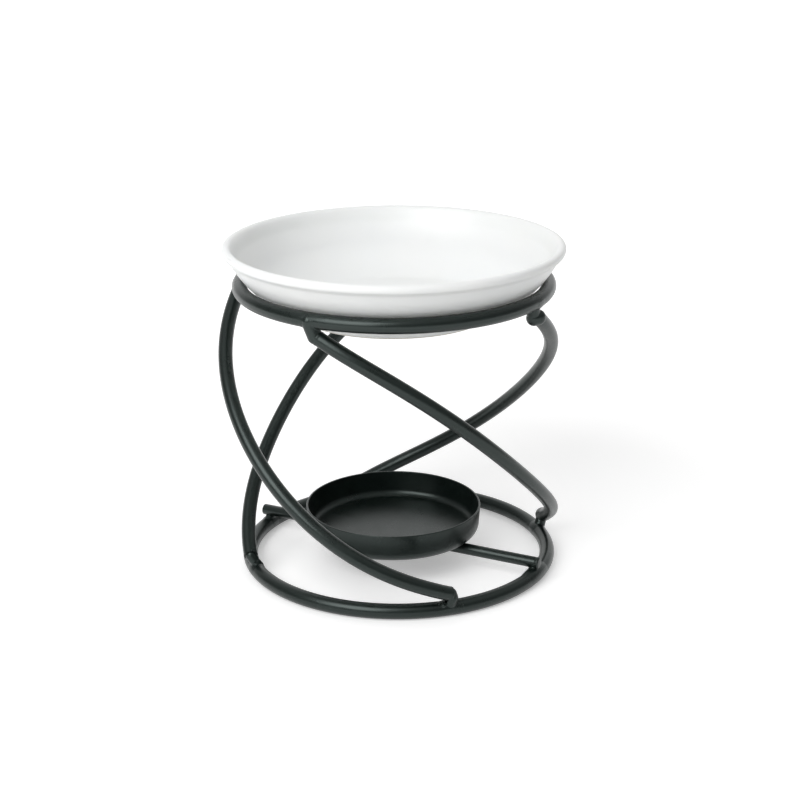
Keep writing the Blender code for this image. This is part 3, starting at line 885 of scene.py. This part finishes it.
def bowl_profile(sizes):
    """Profile of the bowl, with its foot at height 0."""
    height = BOWL_HIGH.z - BOWL_LOW.z
    lip = sizes.bowl_lip
    foot_radius = BOWL_RADIUS - sizes.bowl_flare
    foot = Vector((foot_radius, FOOT_STEP))
    under_lip = Vector((BOWL_RADIUS - lip / 2, height - lip))
    chord = under_lip - foot
    outer_radius = chord.length_squared / (8 * sizes.bowl_bulge) + sizes.bowl_bulge / 2
    normal = Vector((-chord.y, chord.x)).normalized()
    centre = (foot + under_lip) / 2 + normal * (outer_radius - sizes.bowl_bulge)
    lip_centre = Vector((BOWL_RADIUS - lip / 2, height - lip / 2))
    outer = arc(centre, outer_radius, math.atan2(foot.y - centre.y, foot.x - centre.x),
                math.atan2(under_lip.y - centre.y, under_lip.x - centre.x), BOWL_WALL_STEPS)
    inner_radius = outer_radius - sizes.bowl_wall
    lip_arc = arc(lip_centre, lip / 2, -LIP_BLEND, math.pi / 2, BOWL_LIP_STEPS)
    roll_angle = math.asin((height - ROLL_DROP - centre.y) / inner_radius)
    roll_end = centre + inner_radius * Vector((math.cos(roll_angle), math.sin(roll_angle)))
    wall_way = Vector((-math.sin(roll_angle), math.cos(roll_angle)))
    lip_top = Vector(lip_arc[-1])
    roll = interpolate_bezier(lip_top, lip_top - Vector((ROLL_TOP, 0.0)), roll_end + wall_way * ROLL_SIDE,
                              roll_end, BOWL_ROLL_STEPS)
    fillet_height = sizes.bowl_floor + FLOOR_FILLET
    drop = centre.y - fillet_height
    reach = math.sqrt((inner_radius - FLOOR_FILLET) ** 2 - drop ** 2)
    fillet_centre = (centre.x + reach, fillet_height)
    fillet_angle = math.atan2(-drop, reach)
    inner = arc(centre, inner_radius, roll_angle, fillet_angle, BOWL_WALL_STEPS)
    fillet = arc(fillet_centre, FLOOR_FILLET, fillet_angle, -math.pi / 2, BOWL_FILLET_STEPS)
    inner_foot = foot_radius - FOOT_WIDTH
    foot_ring = [(0.0, FOOT_STEP), (inner_foot - FOOT_STEP, FOOT_STEP), (inner_foot, 0.0),
                 (foot_radius, 0.0)]
    rolled = [(point.x, point.y) for point in roll[1:]]
    return foot_ring + outer[:-1] + lip_arc + rolled + inner[1:] + fillet[1:] + [(0.0, sizes.bowl_floor)]


# Stage


class AROMALAMP_OT_stage(bpy.types.Operator):
    """Set the floor, the lights, the surroundings and the camera"""

    bl_idname = "aromalamp.stage"
    bl_label = "Stage"

    def execute(self, context):
        settings = context.scene.lamp_stage
        self.floor()
        self.surround(settings)
        self.key_light(settings.key_power)
        self.camera(settings)
        context.scene.view_settings.view_transform = "Standard"
        return {"FINISHED"}

    def floor(self):
        """Pale floor that glows into the white surroundings with the distance from the lamp."""
        deselect()
        bpy.ops.mesh.primitive_plane_add(size=FLOOR_SIZE)
        floor = bpy.context.object
        floor.name = "floor"
        material, tree, shader = new_material("pale_floor")
        shader.inputs["Base Color"].default_value = FLOOR_COLOUR
        shader.inputs["Roughness"].default_value = FLOOR_ROUGHNESS
        shader.inputs["Emission Color"].default_value = WHITE
        path = tree.nodes.new("ShaderNodeLightPath")
        seen = math_node(tree, "ADD", path.outputs["Is Camera Ray"], path.outputs["Is Glossy Ray"])
        seen = math_node(tree, "ADD", seen, path.outputs["Is Transmission Ray"], clamp=True)
        distance = tree.nodes.new("ShaderNodeVectorMath")
        distance.operation = "LENGTH"
        tree.links.new(tree.nodes.new("ShaderNodeTexCoord").outputs["Object"], distance.inputs[0])
        glow = map_range(tree, distance.outputs["Value"], *GLOW_SPAN, *GLOW)
        tree.links.new(math_node(tree, "MULTIPLY", seen, glow), shader.inputs["Emission Strength"])
        floor.data.materials.append(material)

    def surround(self, settings):
        """Surroundings that look white, and light the lamp from behind, above and the sides."""
        world = bpy.data.worlds.new("white_surround")
        world.use_nodes = True
        tree = world.node_tree
        background = tree.nodes["Background"]
        background.inputs["Color"].default_value = WHITE
        direction = tree.nodes.new("ShaderNodeSeparateXYZ")
        tree.links.new(tree.nodes.new("ShaderNodeTexCoord").outputs["Generated"], direction.inputs[0])
        ahead = direction.outputs["Y"]
        around = map_range(tree, ahead, *CAMERA_SPAN, settings.camera_side, settings.surround)
        behind = map_range(tree, ahead, *BEHIND_SPAN, 0.0, settings.backdrop - settings.surround)
        above = map_range(tree, direction.outputs["Z"], *OVERHEAD_SPAN, 0.0, settings.overhead)
        around = math_node(tree, "ADD", math_node(tree, "ADD", around, behind), above)
        path = tree.nodes.new("ShaderNodeLightPath")
        tree.links.new(math_node(tree, "MAXIMUM", path.outputs["Is Camera Ray"], around),
                       background.inputs["Strength"])
        bpy.context.scene.world = world

    def key_light(self, power):
        """Square softbox at the upper left, aimed at the lamp."""
        bpy.ops.object.light_add(type="AREA", location=KEY_PLACE)
        light = bpy.context.object
        light.name = "key_light"
        light.data.shape = "SQUARE"
        light.data.size = KEY_SIZE
        light.data.energy = power
        light.rotation_mode = "QUATERNION"
        light.rotation_quaternion = (Vector(KEY_TARGET) - Vector(KEY_PLACE)).to_track_quat("-Z", "Y")

    def camera(self, settings):
        """Camera where the photograph was taken from."""
        place = BOTTOM_CENTRE + Vector((0.0, -settings.distance, 0.0))
        place.z = settings.height
        bpy.ops.object.camera_add(location=place)
        camera = bpy.context.object
        camera.name = "photo_camera"
        camera.data.lens = settings.lens
        camera.data.sensor_width = SENSOR_WIDTH
        camera.data.shift_x = -0.5 / PHOTO_SIZE
        camera.data.shift_y = 0.5 / PHOTO_SIZE
        forward = Vector((math.sin(settings.yaw) * math.cos(settings.pitch),
                          math.cos(settings.yaw) * math.cos(settings.pitch), -math.sin(settings.pitch)))
        camera.rotation_mode = "QUATERNION"
        turn = Quaternion((0.0, 0.0, 1.0), settings.roll)
        camera.rotation_quaternion = forward.to_track_quat("-Z", "Y") @ turn
        bpy.context.scene.camera = camera


class AROMALAMP_PT_panel(bpy.types.Panel):
    """The lamp's steps and settings"""

    bl_idname = "AROMALAMP_PT_panel"
    bl_label = "Aroma Lamp"
    bl_space_type = "VIEW_3D"
    bl_region_type = "UI"
    bl_category = "Aroma Lamp"

    def draw(self, context):
        for operator in STEPS:
            self.layout.operator(operator.bl_idname)
        for group in (context.scene.lamp_sizes, context.scene.lamp_finish, context.scene.lamp_stage):
            box = self.layout.box()
            for label in group.__annotations__:
                box.prop(group, label)


STEPS = (AROMALAMP_OT_stage, AROMALAMP_OT_rings, AROMALAMP_OT_legs, AROMALAMP_OT_crossbar,
         AROMALAMP_OT_leg_welds, AROMALAMP_OT_small_welds, AROMALAMP_OT_candle_cup, AROMALAMP_OT_oil_bowl)
CLASSES = (LampSizes, LampFinish, StageSettings, *STEPS, AROMALAMP_PT_panel)


def register():
    for item in CLASSES:
        bpy.utils.register_class(item)
    bpy.types.Scene.lamp_sizes = bpy.props.PointerProperty(type=LampSizes)
    bpy.types.Scene.lamp_finish = bpy.props.PointerProperty(type=LampFinish)
    bpy.types.Scene.lamp_stage = bpy.props.PointerProperty(type=StageSettings)


def unregister():
    del bpy.types.Scene.lamp_sizes
    del bpy.types.Scene.lamp_finish
    del bpy.types.Scene.lamp_stage
    for item in reversed(CLASSES):
        bpy.utils.unregister_class(item)


def main():
    register()
    bpy.ops.aromalamp.stage()
    bpy.ops.aromalamp.rings()
    bpy.ops.aromalamp.legs()
    bpy.ops.aromalamp.crossbar()
    bpy.ops.aromalamp.leg_welds()
    bpy.ops.aromalamp.small_welds()
    bpy.ops.aromalamp.candle_cup()
    bpy.ops.aromalamp.oil_bowl()


if __name__ == "__main__":
    main()
